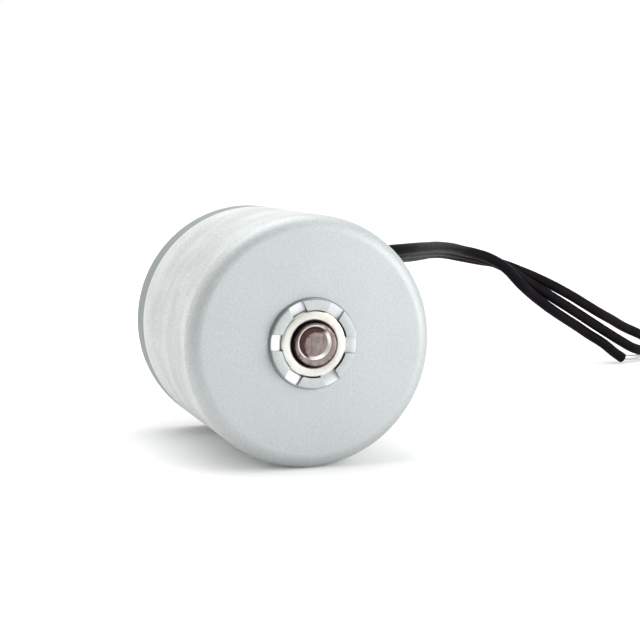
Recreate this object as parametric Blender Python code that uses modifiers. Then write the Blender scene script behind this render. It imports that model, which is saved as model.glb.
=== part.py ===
"""Cylindrical vibration motor on its side: drawn can, brushless drive, eccentric weight and three leads.

The motor axis runs along Y, with the closed end of the can towards -Y. Depths are measured along the axis
from the can's flat front face towards the rear, and angles clockwise from the top, as seen from the front.
"""

import math

import bmesh
import bpy
from mathutils import Matrix, Vector

# Drawn can with its staked bearing collar
CAN_RADIUS = 0.018
CAN_LENGTH = 0.035
CAN_WALL = 0.0012
CAN_FACE_WALL = 0.0014
CAN_SHOULDER = 0.0022
CAN_SIDES = 32
COLLAR_HEIGHT = 0.001
COLLAR_WALL = 0.0015
COLLAR_EDGE = 0.0002
SEAT_DEPTH = 0.0032
STAKE_COUNT = 6
STAKE_ANGLE = 34.0
STAKE_WIDTH = 0.0022
STAKE_DEPTH = 0.0006

# Bearings
BUSH_RADIUS = 0.00465
BUSH_RECESS = 0.00025
BUSH_EDGE = 0.0003
BUSH_FLANGE_RADIUS = 0.006
BUSH_FLANGE_THICKNESS = 0.001
REAR_BUSH_LENGTH = 0.0045
BORE_CHAMFER = 0.0003

# Shaft and what turns with it
SHAFT_RADIUS = 0.003
SHAFT_PROUD = 0.0018
SHAFT_END_GAP = 0.0006
SHAFT_EDGE = 0.00025
SHAFT_RIM = 0.0006
SHAFT_RECESS = 0.00015
WASHER_RADIUS = 0.0056
WASHER_THICKNESS = 0.0005
WEIGHT_CLEARANCE = 0.0013
WEIGHT_COIL_GAP = 0.0021
WEIGHT_HUB_RADIUS = 0.007
SCREW_RADIUS = 0.0013
SCREW_INSET = 0.0002
SOCKET_RADIUS = 0.0008
SOCKET_DEPTH = 0.0014
SPACER_RADIUS = 0.0046
ROTOR_LENGTH = 0.011
ROTOR_CORE_RADIUS = 0.005
MAGNET_COUNT = 4
MAGNET_THICKNESS = 0.0019
MAGNET_SPACING = 0.0008
BAND_THICKNESS = 0.0003

# Spring between the rear washer and the rear bush
WAVE_COUNT = 3
WAVE_RADIUS = 0.0052
WAVE_THICKNESS = 0.0003
WAVE_SWING = 0.00025

# Stator
STACK_LENGTH = 0.010
YOKE_THICKNESS = 0.0018
TOOTH_COUNT = 6
TOOTH_WIDTH = 0.0044
SHOE_THICKNESS = 0.001
SLOT_OPENING = 0.0022
INSULATOR_THICKNESS = 0.001
INSULATOR_INSET = 0.0003
COIL_THICKNESS = 0.0019
COIL_CORNER = 0.00035

# Rear cover with the board and the lead grommet
COVER_PROUD = 0.0041
COVER_STEP = 0.00075
COVER_EDGE = 0.001
COVER_FLOOR = 0.0015
POCKET_WALL = 0.001
SPIGOT_LENGTH = 0.0026
SPIGOT_WALL = 0.0009
COVER_HUB_WALL = 0.0013
BOARD_THICKNESS = 0.0012
BOARD_MARGIN = 0.0006
STANDOFF_COUNT = 3
STANDOFF_ANGLE = 100.0
STANDOFF_RADIUS = 0.0012
STANDOFF_HEIGHT = 0.0007
STANDOFF_INSET = 0.0036
SOLDER_RADIUS = 0.0008
SOLDER_HEIGHT = 0.0005
GROMMET_ANGLE = 37.5
GROMMET_INSET = 0.0049
GROMMET_WALL = 0.0008
GROMMET_LIP = 0.0007
GROMMET_LIP_THICKNESS = 0.0008

# Leads
LEAD_RADIUS = 0.00105
LEAD_PITCH = 0.0024
LEAD_STEP = 0.003
TIP_RADIUS = 0.0005
TIP_LENGTH = 0.004

# Clearances: seated pieces, pieces pressed or screwed together, running fits and the magnetic gap
SEAT_GAP = 0.0003
FIT_GAP = 0.00015
RUNNING_GAP = 0.0001
AIR_GAP = 0.0005
SOLDER_GAP = 0.00005

# Facets of round pieces, steps of one corner of an outline, and the reach of welded points
ROUND_SIDES = 32
OUTLINE_SIDES = 48
SMALL_SIDES = 12
HEX_SIDES = 6
CORNER_STEPS = 3
WIRE_RESOLUTION = 2
WELD_DISTANCE = 0.00001

# Routes of the free leads behind the grommet, in metres, in the motor's own frame
LEAD_ROUTES = {
    "lead_1": [
        (0.0047, 0.0256, 0.0264),
        (0.0079, 0.0301, 0.0263),
        (0.0130, 0.0323, 0.0261),
        (0.0183, 0.0328, 0.0260),
        (0.0231, 0.0331, 0.0259),
        (0.0274, 0.0341, 0.0258),
        (0.0313, 0.0366, 0.0254),
        (0.0349, 0.0405, 0.0251),
        (0.0383, 0.0452, 0.0248),
        (0.0422, 0.0505, 0.0245),
        (0.0462, 0.0559, 0.0243),
        (0.0502, 0.0605, 0.0242),
        (0.0542, 0.0636, 0.0238),
        (0.0583, 0.0652, 0.0230),
        (0.0624, 0.0657, 0.0222),
        (0.0668, 0.0658, 0.0214),
        (0.0720, 0.0647, 0.0195),
        (0.0768, 0.0634, 0.0173),
        (0.0813, 0.0625, 0.0149),
        (0.0853, 0.0619, 0.0125),
        (0.0885, 0.0621, 0.0107),
        (0.0914, 0.0629, 0.0093),
        (0.0950, 0.0642, 0.0075),
        (0.0994, 0.0656, 0.0057),
        (0.1056, 0.0710, 0.0034),
        (0.1108, 0.0750, 0.0015),
        (0.1156, 0.0789, 0.0011),
    ],
    "lead_2": [
        (0.0070, 0.0247, 0.0265),
        (0.0094, 0.0282, 0.0265),
        (0.0136, 0.0300, 0.0264),
        (0.0185, 0.0304, 0.0264),
        (0.0235, 0.0308, 0.0264),
        (0.0283, 0.0320, 0.0265),
        (0.0328, 0.0349, 0.0262),
        (0.0366, 0.0392, 0.0260),
        (0.0402, 0.0439, 0.0257),
        (0.0440, 0.0492, 0.0254),
        (0.0480, 0.0544, 0.0251),
        (0.0519, 0.0588, 0.0247),
        (0.0555, 0.0616, 0.0241),
        (0.0589, 0.0630, 0.0234),
        (0.0626, 0.0634, 0.0225),
        (0.0665, 0.0634, 0.0211),
        (0.0710, 0.0629, 0.0183),
        (0.0756, 0.0623, 0.0155),
        (0.0801, 0.0620, 0.0128),
        (0.0840, 0.0619, 0.0104),
        (0.0871, 0.0620, 0.0085),
        (0.0905, 0.0624, 0.0065),
        (0.0939, 0.0630, 0.0046),
        (0.0976, 0.0640, 0.0028),
        (0.1034, 0.0674, 0.0015),
        (0.1088, 0.0709, 0.0011),
    ],
    "lead_3": [
        (0.0092, 0.0238, 0.0266),
        (0.0109, 0.0263, 0.0267),
        (0.0142, 0.0277, 0.0268),
        (0.0187, 0.0280, 0.0268),
        (0.0239, 0.0285, 0.0269),
        (0.0292, 0.0299, 0.0271),
        (0.0343, 0.0332, 0.0271),
        (0.0384, 0.0378, 0.0269),
        (0.0420, 0.0426, 0.0266),
        (0.0458, 0.0479, 0.0263),
        (0.0498, 0.0530, 0.0258),
        (0.0536, 0.0572, 0.0252),
        (0.0567, 0.0596, 0.0245),
        (0.0595, 0.0607, 0.0239),
        (0.0629, 0.0610, 0.0228),
        (0.0662, 0.0611, 0.0209),
        (0.0701, 0.0610, 0.0171),
        (0.0744, 0.0612, 0.0137),
        (0.0788, 0.0616, 0.0108),
        (0.0828, 0.0619, 0.0084),
        (0.0858, 0.0621, 0.0065),
        (0.0895, 0.0618, 0.0042),
        (0.0917, 0.0618, 0.0025),
        (0.0939, 0.0621, 0.0011),
    ],
}

# Radii that follow from the sizes above
can_inner = CAN_RADIUS - CAN_WALL
seat_radius = BUSH_RADIUS + FIT_GAP
collar_radius = seat_radius + COLLAR_WALL
bore_radius = SHAFT_RADIUS + RUNNING_GAP
hole_radius = SHAFT_RADIUS + FIT_GAP
magnet_inner = ROTOR_CORE_RADIUS + FIT_GAP
magnet_outer = magnet_inner + MAGNET_THICKNESS
band_inner = magnet_outer + FIT_GAP
rotor_radius = band_inner + BAND_THICKNESS
stator_radius = can_inner - SEAT_GAP
stator_bore = rotor_radius + AIR_GAP
slot_radius = stator_radius - YOKE_THICKNESS
shoe_radius = stator_bore + SHOE_THICKNESS
spigot_radius = can_inner - SEAT_GAP
cover_inner = spigot_radius - SPIGOT_WALL
cover_radius = CAN_RADIUS - COVER_STEP
cover_hub_radius = seat_radius + COVER_HUB_WALL

# Depths behind the front face, from the front bush to the front of the eccentric weight
bush_front = BUSH_RECESS - COLLAR_HEIGHT
seat_rear = CAN_FACE_WALL + SEAT_DEPTH
flange_front = seat_rear + SEAT_GAP
flange_rear = flange_front + BUSH_FLANGE_THICKNESS
front_washer_start = flange_rear + SEAT_GAP
weight_front = front_washer_start + WASHER_THICKNESS + SEAT_GAP

# Depths from the rear cover forward to the rotor
cover_rear = CAN_LENGTH + COVER_PROUD
cover_floor = cover_rear - COVER_FLOOR
pocket_floor = cover_rear - POCKET_WALL
rear_bush_rear = pocket_floor - SEAT_GAP
rear_bush_front = rear_bush_rear - REAR_BUSH_LENGTH
wave_middle = rear_bush_front - SEAT_GAP - WAVE_SWING - WAVE_THICKNESS / 2
rear_washer_end = wave_middle - WAVE_SWING - WAVE_THICKNESS / 2 - SEAT_GAP
rear_washer_start = rear_washer_end - WASHER_THICKNESS
core_rear = rear_washer_start - SEAT_GAP
core_front = core_rear - ROTOR_LENGTH
core_middle = (core_front + core_rear) / 2

# Depths of the stator, centred on the rotor
stack_front = core_middle - STACK_LENGTH / 2
stack_rear = core_middle + STACK_LENGTH / 2
front_insulator_start = stack_front - SEAT_GAP - INSULATOR_THICKNESS
rear_insulator_start = stack_rear + SEAT_GAP
window_front = front_insulator_start - SEAT_GAP
window_rear = rear_insulator_start + INSULATOR_THICKNESS + SEAT_GAP
coil_front = window_front - COIL_THICKNESS

# The weight fills the space that the windings leave in front of them, and the spacer reaches on to the rotor
weight_rear = coil_front - WEIGHT_COIL_GAP
weight_middle = (weight_front + weight_rear) / 2
spacer_front = weight_rear + SEAT_GAP
spacer_rear = core_front - SEAT_GAP

# Depths of the board in the cover and of the lead grommet
board_rear = cover_floor - STANDOFF_HEIGHT - SEAT_GAP
board_front = board_rear - BOARD_THICKNESS
grommet_front = board_rear + SOLDER_GAP + SOLDER_HEIGHT + FIT_GAP
grommet_lip = cover_rear + SEAT_GAP
grommet_rear = grommet_lip + GROMMET_LIP_THICKNESS

# The motor lies with its flat front face at this Y, so that its length is centred on the origin
FACE_Y = -(grommet_rear - SHAFT_PROUD) / 2


def around(angle, radius):
    """Point at a clockwise angle from the top, in the plane across the axis."""
    turn = math.radians(angle)
    return Vector((radius * math.sin(turn), radius * math.cos(turn)))


def arc(radius, start, end, steps):
    """Points along an arc about the axis, both ends included."""
    return [around(start + (end - start) * step / steps, radius) for step in range(steps + 1)]


def stadium(half_length, radius, sides):
    """Outline with straight flanks along X and round ends."""
    right = [Vector((half_length, 0.0)) + point for point in arc(radius, 0, 180, sides // 2)]
    left = [Vector((-half_length, 0.0)) + point for point in arc(radius, 180, 360, sides // 2)]
    return right + left


def rounded_box(half_width, half_height, corner):
    """Rectangle outline with round corners."""
    points = []
    for quarter, (sign_x, sign_y) in enumerate(((1, 1), (1, -1), (-1, -1), (-1, 1))):
        centre = Vector((sign_x * (half_width - corner), sign_y * (half_height - corner)))
        points += [centre + point for point in arc(corner, quarter * 90, quarter * 90 + 90, CORNER_STEPS)]
    return points


def stator_outline(bore, slot, shoe, tooth_width, opening):
    """Inner edge of the lamination: teeth with shoes at the bore, and slots between them."""
    pitch = 360.0 / TOOTH_COUNT
    root_angle = math.degrees(math.asin(tooth_width / 2 / slot))
    neck_angle = math.degrees(math.asin(tooth_width / 2 / shoe))
    shoe_angle = pitch / 2 - math.degrees(math.asin(opening / 2 / bore))
    points = []
    for tooth in range(TOOTH_COUNT):
        middle = tooth * pitch
        points.append(around(middle - root_angle, slot))
        points.append(around(middle - neck_angle, shoe))
        points.append(around(middle - shoe_angle, (bore + shoe) / 2))
        points += arc(bore, middle - shoe_angle, middle + shoe_angle, OUTLINE_SIDES // TOOTH_COUNT)
        points.append(around(middle + shoe_angle, (bore + shoe) / 2))
        points.append(around(middle + neck_angle, shoe))
        points += arc(slot, middle + root_angle, middle + pitch - root_angle, CORNER_STEPS)[:-1]
    return points


def smooth_route(points, step):
    """Evenly spaced points on a smooth curve through the route's own points."""
    points = [Vector(point) for point in points]
    ends = [2 * points[0] - points[1]] + points + [2 * points[-1] - points[-2]]
    fine = []
    for before, start, end, after in zip(ends, ends[1:], ends[2:], ends[3:]):
        for part in range(SMALL_SIDES):
            t = part / SMALL_SIDES
            bend = 2 * before - 5 * start + 4 * end - after
            twist = 3 * start - before - 3 * end + after
            fine.append(start + ((end - before) * t + bend * t * t + twist * t ** 3) / 2)
    fine.append(points[-1])
    lengths = [0.0]
    for start, end in zip(fine, fine[1:]):
        lengths.append(lengths[-1] + (end - start).length)
    count = round(lengths[-1] / step)
    even = []
    index = 0
    for stop in range(count + 1):
        target = lengths[-1] * stop / count
        while index < len(fine) - 2 and lengths[index + 1] < target:
            index += 1
        share = (target - lengths[index]) / (lengths[index + 1] - lengths[index])
        even.append(fine[index].lerp(fine[index + 1], share))
    return even


def clear_scene():
    for item in list(bpy.data.objects):
        bpy.data.objects.remove(item, do_unlink=True)


def new_collection(name):
    group = bpy.data.collections.new(name)
    bpy.context.scene.collection.children.link(group)
    return group


def new_empty(name, location, rotation):
    empty = bpy.data.objects.new(name, None)
    empty.location = location
    empty.rotation_euler = rotation
    motor_parts.objects.link(empty)
    return empty


def new_material(name, color, roughness, metallic):
    material = bpy.data.materials.new(name)
    material.use_nodes = True
    shader = material.node_tree.nodes["Principled BSDF"]
    shader.inputs["Base Color"].default_value = (*color, 1.0)
    shader.inputs["Roughness"].default_value = roughness
    shader.inputs["Metallic"].default_value = metallic
    return material


def add_piece(name, data, material, parent):
    """Place a named sub-part with its own finish in the motor's collection."""
    piece = bpy.data.objects.new(name, data)
    color, roughness, metallic = material
    data.materials.append(new_material(name, color, roughness, metallic))
    piece.parent = parent
    motor_parts.objects.link(piece)
    return piece


def turned(name, outline, sides, material, parent, closed=True):
    """Revolve an outline of radius and depth pairs, which runs rearwards down its outer side."""
    mesh = bpy.data.meshes.new(name)
    edges = [(index, index + 1) for index in range(len(outline) - 1)]
    if closed:
        edges.append((len(outline) - 1, 0))
    mesh.from_pydata([(radius, 0.0, -depth) for radius, depth in outline], edges, [])
    piece = add_piece(name, mesh, material, parent)
    screw = piece.modifiers.new("Turn", "SCREW")
    screw.steps = sides
    screw.render_steps = sides
    screw.use_merge_vertices = True
    screw.merge_threshold = WELD_DISTANCE
    screw.use_smooth_shade = False
    return piece


def ring(name, inner, outer, front, rear, material, parent):
    """Plain turned ring between two depths."""
    outline = [(inner, front), (outer, front), (outer, rear), (inner, rear)]
    return turned(name, outline, ROUND_SIDES, material, parent)


def flat_curve(name, loops, thickness):
    """Flat outline with holes, filled and given a thickness."""
    curve = bpy.data.curves.new(name, "CURVE")
    curve.dimensions = "2D"
    curve.fill_mode = "BOTH"
    curve.extrude = thickness / 2
    for loop in loops:
        spline = curve.splines.new("POLY")
        spline.points.add(len(loop) - 1)
        for point, place in zip(spline.points, loop):
            point.co = (place.x, place.y, 0.0, 1.0)
        spline.use_cyclic_u = True
    return curve


def extruded(name, loops, front, rear, material, parent):
    """Flat outline across the axis, given its thickness between two depths."""
    piece = add_piece(name, flat_curve(name, loops, rear - front), material, parent)
    piece.location.z = -(front + rear) / 2
    return piece


def solid_mesh(name, loops, front, rear):
    """Closed mesh of an extruded outline, for pieces that are cut or joined."""
    guide = bpy.data.objects.new(name, flat_curve(name, loops, rear - front))
    guide.location.z = -(front + rear) / 2
    cutters.objects.link(guide)
    bpy.context.view_layer.update()
    mesh = bpy.data.meshes.new_from_object(guide.evaluated_get(bpy.context.evaluated_depsgraph_get()))
    mesh.transform(guide.matrix_world)
    bpy.data.objects.remove(guide, do_unlink=True)
    body = bmesh.new()
    body.from_mesh(mesh)
    bmesh.ops.remove_doubles(body, verts=body.verts, dist=WELD_DISTANCE)
    bmesh.ops.recalc_face_normals(body, faces=body.faces)
    body.to_mesh(mesh)
    body.free()
    return mesh


def rod_mesh(name, radius, length, sides):
    """Closed cylinder along Z, centred on its own origin."""
    mesh = bpy.data.meshes.new(name)
    body = bmesh.new()
    bmesh.ops.create_cone(body, cap_ends=True, segments=sides, radius1=radius, radius2=radius, depth=length)
    body.to_mesh(mesh)
    body.free()
    return mesh


def shape_with(piece, mesh, operation, parent, place=None):
    """Cut a mesh out of a piece, or join it on, with a hidden guide object."""
    guide = bpy.data.objects.new(mesh.name, mesh)
    guide.hide_render = True
    guide.display_type = "WIRE"
    guide.parent = parent
    if place is not None:
        guide.matrix_local = place
    cutters.objects.link(guide)
    boolean = piece.modifiers.new(mesh.name, "BOOLEAN")
    boolean.operation = operation
    boolean.solver = "EXACT"
    boolean.object = guide


def tube(name, points, radius, material, parent):
    """Round wire along a row of points."""
    curve = bpy.data.curves.new(name, "CURVE")
    curve.dimensions = "3D"
    curve.bevel_depth = radius
    curve.bevel_resolution = WIRE_RESOLUTION
    curve.use_fill_caps = True
    spline = curve.splines.new("POLY")
    spline.points.add(len(points) - 1)
    for point, place in zip(spline.points, points):
        point.co = (*place, 1.0)
    return add_piece(name, curve, material, parent)


clear_scene()
motor_parts = new_collection("vibration_motor")
cutters = new_collection("cutters")

# Finishes as linear colour, roughness and metallic value
ZINC = ((0.62, 0.65, 0.65), 0.5, 1.0)
SINTERED = ((0.60, 0.55, 0.46), 0.4, 1.0)
GROUND_STEEL = ((0.32, 0.29, 0.27), 0.3, 1.0)
LAMINATION = ((0.20, 0.21, 0.23), 0.5, 1.0)
COPPER = ((0.55, 0.20, 0.08), 0.4, 1.0)
BRASS = ((0.65, 0.48, 0.20), 0.35, 1.0)
FERRITE = ((0.09, 0.09, 0.10), 0.6, 0.0)
STAINLESS = ((0.55, 0.56, 0.57), 0.3, 1.0)
NYLON = ((0.75, 0.73, 0.66), 0.5, 0.0)
BLACK_PLASTIC = ((0.03, 0.03, 0.032), 0.5, 0.0)
BOARD_GREEN = ((0.03, 0.14, 0.06), 0.4, 0.0)
TIN = ((0.66, 0.66, 0.64), 0.35, 1.0)
RUBBER = ((0.02, 0.02, 0.02), 0.7, 0.0)
LEAD_SLEEVE = ((0.008, 0.008, 0.009), 0.35, 0.0)

# The housing's frame stands on the axis at the front face; its +Z points out of the face, its +Y up
axis_place = (0.0, FACE_Y, CAN_RADIUS)
lying = (math.radians(90), 0.0, 0.0)
housing = new_empty("housing", axis_place, lying)
rotor = new_empty("rotor", axis_place, lying)
free_leads = new_empty("free_leads", (0.0, 0.0, 0.0), (0.0, 0.0, 0.0))

# Can: the flats of its outside lie on the true radius, and one flat is underneath
flat_radius = CAN_RADIUS / math.cos(math.pi / CAN_SIDES)
shoulder = [
    (flat_radius - CAN_SHOULDER + CAN_SHOULDER * math.sin(turn), CAN_SHOULDER - CAN_SHOULDER * math.cos(turn))
    for turn in (math.radians(90 * step / CORNER_STEPS) for step in range(CORNER_STEPS + 1))
]
can_outline = [
    (seat_radius, -COLLAR_HEIGHT),
    (collar_radius - COLLAR_EDGE, -COLLAR_HEIGHT),
    (collar_radius, COLLAR_EDGE - COLLAR_HEIGHT),
    (collar_radius, 0.0),
    *shoulder,
    (flat_radius, CAN_LENGTH),
    (can_inner, CAN_LENGTH),
    (can_inner, CAN_FACE_WALL),
    (collar_radius, CAN_FACE_WALL),
    (collar_radius, seat_rear),
    (seat_radius, seat_rear),
]
can = turned("can", can_outline, CAN_SIDES, ZINC, housing)
can.rotation_euler.z = math.pi / CAN_SIDES

# Notches where the collar is staked down over the bush
stake_middle = seat_radius + COLLAR_WALL / 2
for stake in range(STAKE_COUNT):
    angle = math.radians(STAKE_ANGLE + 360 * stake / STAKE_COUNT)
    notch = bpy.data.meshes.new("stake_notch")
    notch_body = bmesh.new()
    bmesh.ops.create_cube(notch_body, size=1.0)
    notch_size = Vector((STAKE_WIDTH, 2 * COLLAR_WALL, 2 * STAKE_DEPTH))
    bmesh.ops.scale(notch_body, vec=notch_size, verts=notch_body.verts)
    notch_body.to_mesh(notch)
    notch_body.free()
    place = Matrix.Rotation(-angle, 4, "Z") @ Matrix.Translation((0.0, stake_middle, COLLAR_HEIGHT))
    shape_with(can, notch, "DIFFERENCE", housing, place)

# Front bush: its flange seats behind the can's collar
front_bush_outline = [
    (bore_radius + BORE_CHAMFER, bush_front),
    (BUSH_RADIUS - BUSH_EDGE, bush_front),
    (BUSH_RADIUS, bush_front + BUSH_EDGE),
    (BUSH_RADIUS, flange_front),
    (BUSH_FLANGE_RADIUS, flange_front),
    (BUSH_FLANGE_RADIUS, flange_rear),
    (bore_radius, flange_rear),
    (bore_radius, bush_front + BORE_CHAMFER),
]
turned("front_bush", front_bush_outline, ROUND_SIDES, SINTERED, housing)

# Rear bush, in the blind pocket of the cover
rear_bush_outline = [
    (bore_radius + BORE_CHAMFER, rear_bush_front),
    (BUSH_RADIUS - BUSH_EDGE, rear_bush_front),
    (BUSH_RADIUS, rear_bush_front + BUSH_EDGE),
    (BUSH_RADIUS, rear_bush_rear),
    (bore_radius, rear_bush_rear),
    (bore_radius, rear_bush_front + BORE_CHAMFER),
]
turned("rear_bush", rear_bush_outline, ROUND_SIDES, SINTERED, housing)

# Stator stack, its two end insulators and one coil round each tooth
rim_circle = arc(stator_radius, 0, 360, OUTLINE_SIDES)[:-1]
core_edge = stator_outline(stator_bore, slot_radius, shoe_radius, TOOTH_WIDTH, SLOT_OPENING)
extruded("stator_core", [rim_circle, core_edge], stack_front, stack_rear, LAMINATION, housing)

insulator_circle = arc(stator_radius - INSULATOR_INSET, 0, 360, OUTLINE_SIDES)[:-1]
insulator_edge = stator_outline(
    stator_bore + INSULATOR_INSET, slot_radius, shoe_radius, TOOTH_WIDTH, SLOT_OPENING + 2 * INSULATOR_INSET
)
insulator_loops = [insulator_circle, insulator_edge]
for name, front in (("front_insulator", front_insulator_start), ("rear_insulator", rear_insulator_start)):
    extruded(name, insulator_loops, front, front + INSULATOR_THICKNESS, NYLON, housing)

window_half_width = TOOTH_WIDTH / 2 + SEAT_GAP
window_half_height = (window_rear - window_front) / 2
coil_half_width = window_half_width + COIL_THICKNESS
coil_half_height = window_half_height + COIL_THICKNESS
coil_inner = shoe_radius + SEAT_GAP
coil_outer = math.sqrt((slot_radius - SEAT_GAP) ** 2 - coil_half_width ** 2)
coil_loops = [
    rounded_box(coil_half_width, coil_half_height, COIL_THICKNESS),
    rounded_box(window_half_width, window_half_height, COIL_CORNER),
]
for tooth in range(TOOTH_COUNT):
    angle = math.radians(360 * tooth / TOOTH_COUNT)
    coil_curve = flat_curve("coil", coil_loops, coil_outer - coil_inner)
    coil = add_piece(f"coil_{tooth + 1}", coil_curve, COPPER, housing)
    middle = Matrix.Translation((0.0, (coil_inner + coil_outer) / 2, -(window_front + window_rear) / 2))
    coil.matrix_local = Matrix.Rotation(-angle, 4, "Z") @ middle @ Matrix.Rotation(math.radians(-90), 4, "X")

# Rear cover: a cup on a spigot, with a blind pocket for the bush and standoffs for the board
cover_outline = [
    (0.0, pocket_floor),
    (seat_radius, pocket_floor),
    (seat_radius, rear_bush_front + SEAT_GAP),
    (cover_hub_radius, rear_bush_front + SEAT_GAP),
    (cover_hub_radius, cover_floor),
    (cover_inner, cover_floor),
    (cover_inner, CAN_LENGTH + SEAT_GAP - SPIGOT_LENGTH),
    (spigot_radius, CAN_LENGTH + SEAT_GAP - SPIGOT_LENGTH),
    (spigot_radius, CAN_LENGTH + SEAT_GAP),
    (cover_radius, CAN_LENGTH + SEAT_GAP),
    (cover_radius, cover_rear - COVER_EDGE),
    (cover_radius - COVER_EDGE, cover_rear),
    (0.0, cover_rear),
]
cover = turned("rear_cover", cover_outline, CAN_SIDES, BLACK_PLASTIC, housing, closed=False)
cover.rotation_euler.z = math.pi / CAN_SIDES

standoff_length = STANDOFF_HEIGHT + COVER_FLOOR / 2
standoff_middle = cover_floor - STANDOFF_HEIGHT + standoff_length / 2
for standoff in range(STANDOFF_COUNT):
    spot = around(STANDOFF_ANGLE + 360 * standoff / STANDOFF_COUNT, cover_inner - STANDOFF_INSET)
    post = rod_mesh("standoff", STANDOFF_RADIUS, standoff_length, SMALL_SIDES)
    shape_with(cover, post, "UNION", housing, Matrix.Translation((spot.x, spot.y, -standoff_middle)))

# Lead grommet: an oval neck through the cover with a lip outside, one lead beside the next
grommet_spot = around(GROMMET_ANGLE, cover_inner - GROMMET_INSET)
grommet_place = Matrix.Translation((grommet_spot.x, grommet_spot.y, 0.0))
neck_radius = LEAD_RADIUS + GROMMET_WALL
neck = stadium(LEAD_PITCH, neck_radius, SMALL_SIDES)
opening = stadium(LEAD_PITCH, neck_radius + FIT_GAP, SMALL_SIDES)
lip = stadium(LEAD_PITCH, neck_radius + GROMMET_LIP, SMALL_SIDES)
opening_mesh = solid_mesh("lead_opening", [opening], cover_floor - COVER_FLOOR, cover_rear + COVER_FLOOR)
shape_with(cover, opening_mesh, "DIFFERENCE", housing, grommet_place)
neck_mesh = solid_mesh("lead_grommet", [neck], grommet_front, grommet_rear - GROMMET_LIP_THICKNESS / 2)
grommet = add_piece("lead_grommet", neck_mesh, RUBBER, housing)
grommet.matrix_local = grommet_place
lip_mesh = solid_mesh("grommet_lip", [lip], grommet_lip, grommet_rear)
shape_with(grommet, lip_mesh, "UNION", housing, grommet_place)

# Terminal board on the standoffs, with a solder joint for each lead
board_inner = cover_hub_radius + BOARD_MARGIN
board_outer = cover_inner - BOARD_MARGIN
ring("terminal_board", board_inner, board_outer, board_front, board_rear, BOARD_GREEN, housing)
for number, offset in ((1, -LEAD_PITCH), (2, 0.0), (3, LEAD_PITCH)):
    solder = rod_mesh("solder_joint", SOLDER_RADIUS, SOLDER_HEIGHT, SMALL_SIDES)
    joint = add_piece(f"solder_joint_{number}", solder, TIN, housing)
    solder_middle = board_rear + SOLDER_GAP + SOLDER_HEIGHT / 2
    joint.location = (grommet_spot.x + offset, grommet_spot.y, -solder_middle)

# Shaft, with the shallow turned recess of its visible end
shaft_rear = pocket_floor - SHAFT_END_GAP
shaft_outline = [
    (0.0, SHAFT_RECESS - SHAFT_PROUD),
    (SHAFT_RADIUS - SHAFT_RIM - SHAFT_RECESS, SHAFT_RECESS - SHAFT_PROUD),
    (SHAFT_RADIUS - SHAFT_RIM, -SHAFT_PROUD),
    (SHAFT_RADIUS - SHAFT_EDGE, -SHAFT_PROUD),
    (SHAFT_RADIUS, SHAFT_EDGE - SHAFT_PROUD),
    (SHAFT_RADIUS, shaft_rear - SHAFT_EDGE),
    (SHAFT_RADIUS - SHAFT_EDGE, shaft_rear),
    (0.0, shaft_rear),
]
turned("shaft", shaft_outline, ROUND_SIDES, GROUND_STEEL, rotor, closed=False)

# Thrust washers at both ends of the rotor
for name, front in (("front_washer", front_washer_start), ("rear_washer", rear_washer_start)):
    ring(name, hole_radius, WASHER_RADIUS, front, front + WASHER_THICKNESS, NYLON, rotor)

# Wave spring: a thin ring bent into waves, between the rear washer and the rear bush
wave_mesh = bpy.data.meshes.new("wave_washer")
wave_body = bmesh.new()
inner_ring = bmesh.ops.create_circle(wave_body, segments=OUTLINE_SIDES, radius=hole_radius)["verts"]
outer_ring = bmesh.ops.create_circle(wave_body, segments=OUTLINE_SIDES, radius=WAVE_RADIUS)["verts"]
bmesh.ops.bridge_loops(wave_body, edges=wave_body.edges[:])
for point in inner_ring + outer_ring:
    point.co.z = WAVE_SWING * math.cos(WAVE_COUNT * math.atan2(point.co.y, point.co.x)) - wave_middle
bmesh.ops.recalc_face_normals(wave_body, faces=wave_body.faces)
wave_body.to_mesh(wave_mesh)
wave_body.free()
wave = add_piece("wave_washer", wave_mesh, STAINLESS, housing)
wave_plate = wave.modifiers.new("Plate", "SOLIDIFY")
wave_plate.thickness = WAVE_THICKNESS
wave_plate.offset = 0.0

# Eccentric weight: a half disc on a hub, heavy side down, held by a set screw from above
weight_radius = can_inner - WEIGHT_CLEARANCE
half_facet = 180 / ROUND_SIDES
weight_loops = [
    arc(weight_radius, 90, 270, OUTLINE_SIDES // 2) + arc(WEIGHT_HUB_RADIUS, 270, 450, OUTLINE_SIDES // 2),
    arc(hole_radius, half_facet, 360 + half_facet, ROUND_SIDES)[:-1],
]
weight_mesh = solid_mesh("eccentric_weight", weight_loops, weight_front, weight_rear)
weight = add_piece("eccentric_weight", weight_mesh, BRASS, rotor)
upwards = Matrix.Rotation(math.radians(-90), 4, "X")
hole_mesh = rod_mesh("screw_hole", SCREW_RADIUS + FIT_GAP, WEIGHT_HUB_RADIUS, SMALL_SIDES)
hole_turn = Matrix.Rotation(math.pi / SMALL_SIDES, 4, "Z")
hole_middle = Matrix.Translation((0.0, (SHAFT_RADIUS + WEIGHT_HUB_RADIUS) / 2, -weight_middle))
shape_with(weight, hole_mesh, "DIFFERENCE", rotor, hole_middle @ upwards @ hole_turn)

screw_bottom = SHAFT_RADIUS + SEAT_GAP
screw_top = WEIGHT_HUB_RADIUS - SCREW_INSET
screw_mesh = rod_mesh("weight_screw", SCREW_RADIUS, screw_top - screw_bottom, SMALL_SIDES)
weight_screw = add_piece("weight_screw", screw_mesh, STAINLESS, rotor)
screw_middle = Matrix.Translation((0.0, (screw_bottom + screw_top) / 2, -weight_middle))
weight_screw.matrix_local = screw_middle @ upwards
socket_mesh = rod_mesh("screw_socket", SOCKET_RADIUS, 2 * SOCKET_DEPTH, HEX_SIDES)
socket_place = Matrix.Translation((0.0, screw_top, -weight_middle)) @ upwards
shape_with(weight_screw, socket_mesh, "DIFFERENCE", rotor, socket_place)

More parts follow.
